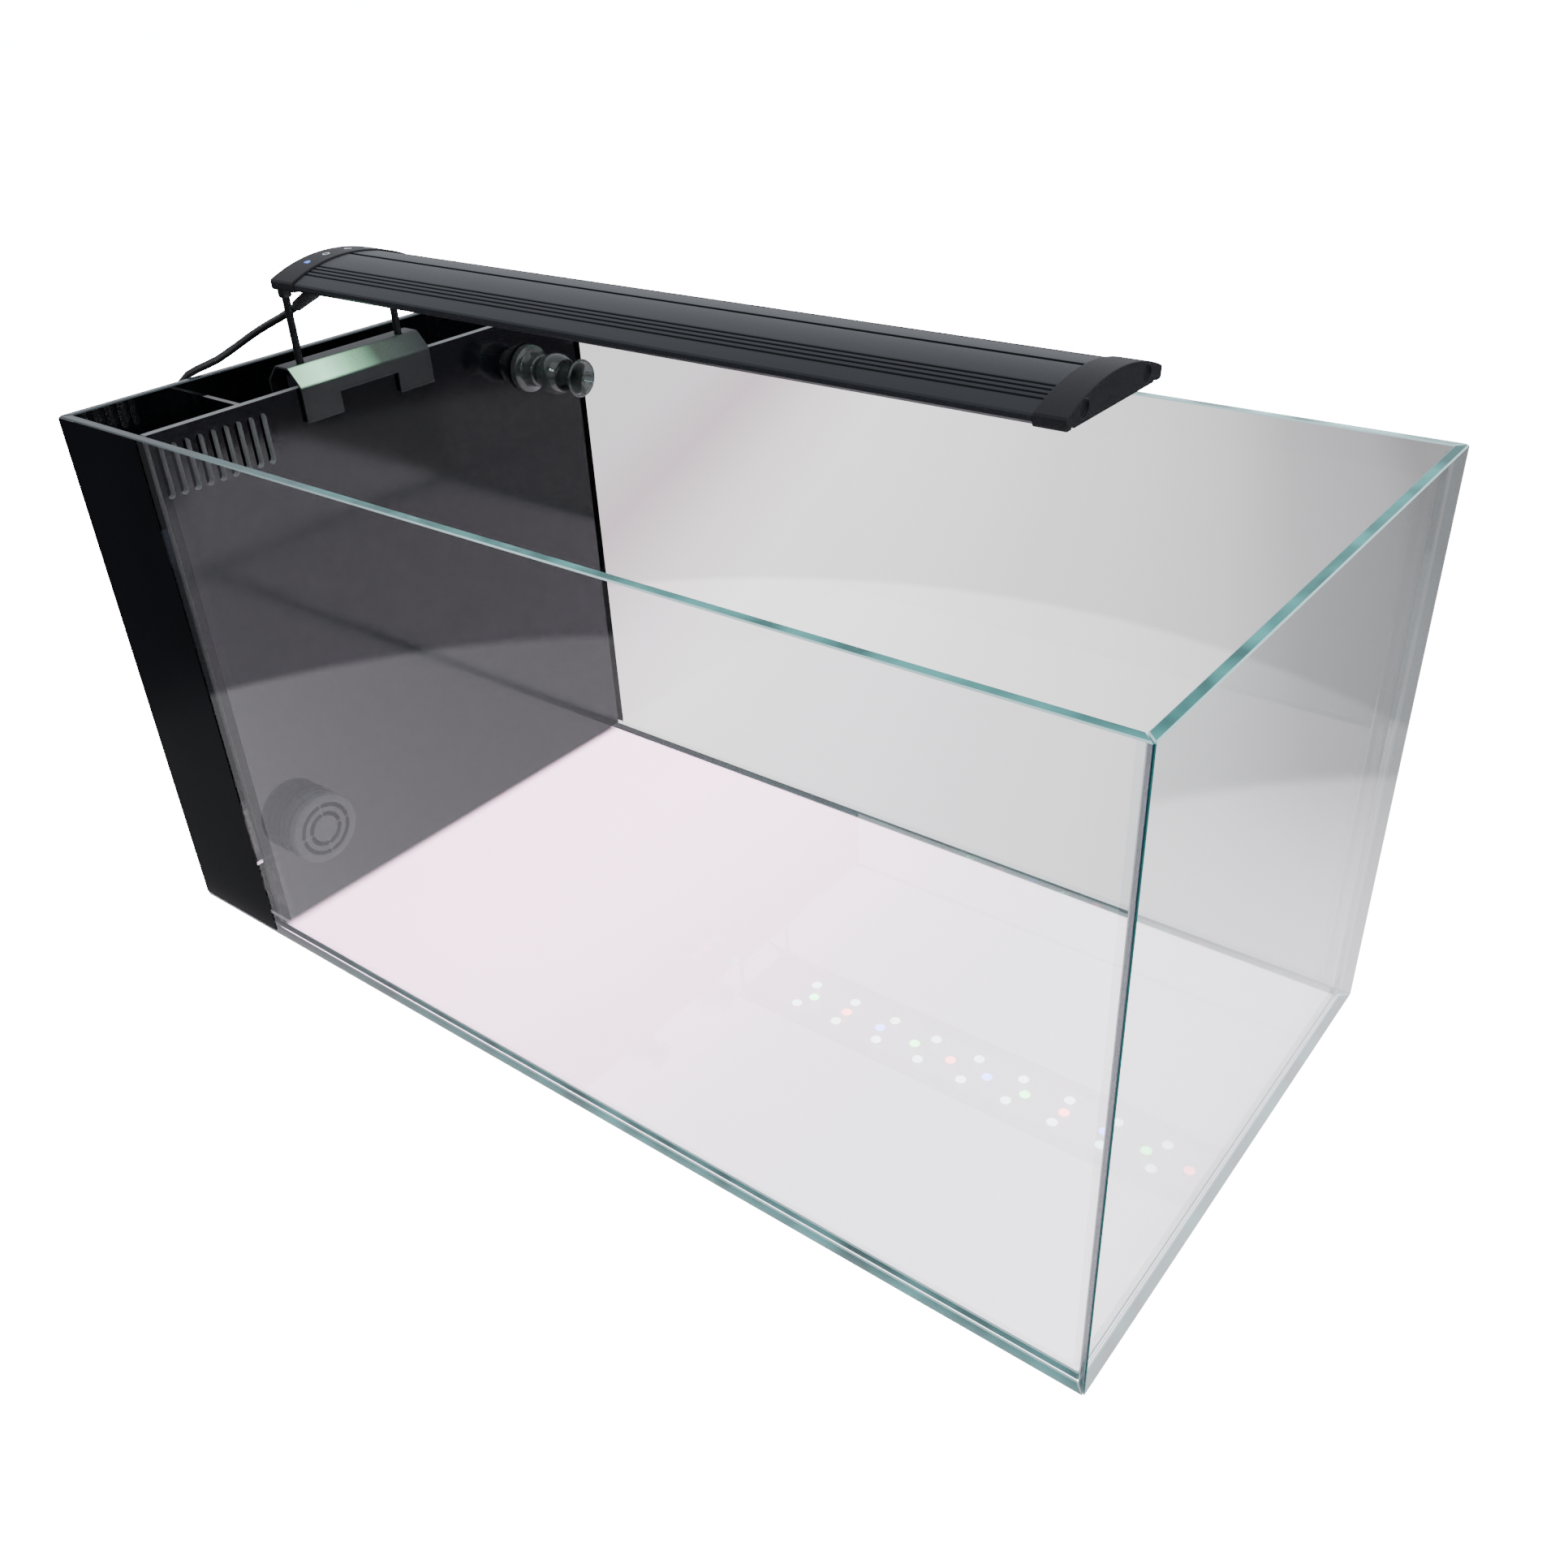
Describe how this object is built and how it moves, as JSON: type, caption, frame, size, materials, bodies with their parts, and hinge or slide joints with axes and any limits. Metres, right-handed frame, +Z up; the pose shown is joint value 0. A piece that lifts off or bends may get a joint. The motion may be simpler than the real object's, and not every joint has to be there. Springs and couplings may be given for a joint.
{
  "type": "all-in-one aquarium with clamp-on light",
  "caption": "Rimless glass tank with a black filter chamber at one end, overflow comb, swivel return nozzle, pump, filter media and a slim light on a rim bracket.",
  "frame": {"origin": "middle of the tank's footprint, on the surface it stands on", "axes": "+X along the long side, away from the filter chamber; -Y towards the viewing front; +Z up"},
  "size_m": [0.6706, 0.301, 0.3602],
  "materials": {
    "clear_glass": "clear polished glass, teal cut edges",
    "black_film": "black vinyl film, semi-gloss",
    "black_acrylic": "gloss black sheet with frosted grey cut edges",
    "clear_silicone": "translucent grey-green sealant",
    "blue_white_acrylic": "pale blue translucent sheet",
    "black_plastic": "moulded black, fine texture",
    "grey_plastic": "moulded dark grey, satin",
    "smoke_plastic": "smoky translucent, polished",
    "black_rubber": "matt",
    "dark_steel": "dark brushed sheet",
    "black_aluminium": "black anodised, fine grain",
    "black_steel": "black oxide, semi-gloss",
    "bright_steel": "bright plated",
    "white_board": "white solder mask with light chips",
    "clear_acrylic": "clear diffusing strip",
    "gloss_black": "piano black",
    "white_ceramic": "off-white, smooth",
    "foam": "open-cell foam",
    "stone_media": "porous fired block",
    "hose_silicone": "translucent grey hose",
    "cable_pvc": "smooth black jacket"
  },
  "bodies": {
    "tank": {"glass_bottom": "clear_glass", "glass_front": "clear_glass", "glass_back": "clear_glass", "glass_left": "clear_glass", "glass_right": "clear_glass", "film_front": "black_film", "film_left": "black_film", "film_back": "black_film", "silicone_bead": "clear_silicone", "partition": "black_acrylic", "baffle_front": "blue_white_acrylic", "baffle_rear": "black_acrylic", "strainer_gasket": "black_rubber", "strainer_body": "black_plastic", "strainer_nut": "black_plastic", "return_flange": "smoke_plastic", "return_nut": "black_plastic", "return_elbow": "black_plastic", "return_hose": "hose_silicone", "pump_body": "black_plastic", "pump_shaft": "white_ceramic", "pump_volute": "black_plastic", "pump_base": "black_rubber", "media_shelf": "black_acrylic", "bracket_plate": "dark_steel", "clamp_block": "black_aluminium", "rod_lock_front": "black_steel", "rod_lock_rear": "black_steel", "bracket_pad_front": "black_rubber", "bracket_pad_rear": "black_rubber", "light_cable": "cable_pvc", "cable_coil": "cable_pvc", "coil_tie": "black_rubber", "plug_body": "cable_pvc", "plug_barrel": "bright_steel"},
    "light": {"light_housing": "black_aluminium", "light_cap_left": "black_plastic", "light_cap_right": "black_plastic", "led_lens": "clear_acrylic", "led_board": "white_board", "touch_keys": "gloss_black", "cap_screw_left_front": "bright_steel", "cap_screw_left_rear": "bright_steel", "cap_screw_right_front": "bright_steel", "cap_screw_right_rear": "bright_steel", "light_rod_front": "black_steel", "light_rod_rear": "black_steel", "strain_relief": "black_rubber"},
    "strainer_cap": {"strainer_grille": "grey_plastic"},
    "nozzle_link": {"nozzle_link": "smoke_plastic"},
    "nozzle_tip": {"nozzle_tip": "smoke_plastic"},
    "impeller": {"pump_impeller": "white_ceramic"},
    "sponge": {"filter_sponge": "foam"},
    "basket": {"media_basket": "black_plastic", "bio_block": "stone_media"},
    "thumb_screw_front": {"thumb_screw_front": "black_steel"},
    "thumb_screw_rear": {"thumb_screw_rear": "black_steel"}
  },
  "joints": [
    {"name": "light_height", "type": "slide", "parent": "tank", "child": "light", "axis": [0, 0, 1], "range_m": [0, 0.03]},
    {"name": "strainer_cap_twist", "type": "hinge", "parent": "tank", "child": "strainer_cap", "pos_m": [-0.2145, -0.1125, 0.0605], "axis": [1, 0, 0], "range_deg": [0, 40]},
    {"name": "nozzle_pan", "type": "hinge", "parent": "tank", "child": "nozzle_link", "pos_m": [-0.2174, 0.1035, 0.271], "axis": [0, 0, 1], "range_deg": [-20, 20]},
    {"name": "nozzle_tilt", "type": "hinge", "parent": "nozzle_link", "child": "nozzle_tip", "pos_m": [-0.2022, 0.1035, 0.271], "axis": [0, 1, 0], "range_deg": [-12, 12]},
    {"name": "impeller_spin", "type": "hinge", "parent": "tank", "child": "impeller", "pos_m": [-0.26385, 0.0636, 0.03], "axis": [0, 1, 0], "continuous": true},
    {"name": "sponge_lift", "type": "slide", "parent": "tank", "child": "sponge", "axis": [0, 0, 1], "range_m": [0, 0.19]},
    {"name": "basket_lift", "type": "slide", "parent": "tank", "child": "basket", "axis": [0, 0, 1], "range_m": [0, 0.08]},
    {"name": "thumb_screw_front_turn", "type": "hinge", "parent": "tank", "child": "thumb_screw_front", "pos_m": [-0.2484, -0.03, 0.293], "axis": [1, 0, 0], "range_deg": [0, 180]},
    {"name": "thumb_screw_rear_turn", "type": "hinge", "parent": "tank", "child": "thumb_screw_rear", "pos_m": [-0.2484, 0.006, 0.293], "axis": [1, 0, 0], "range_deg": [0, 180]}
  ]
}
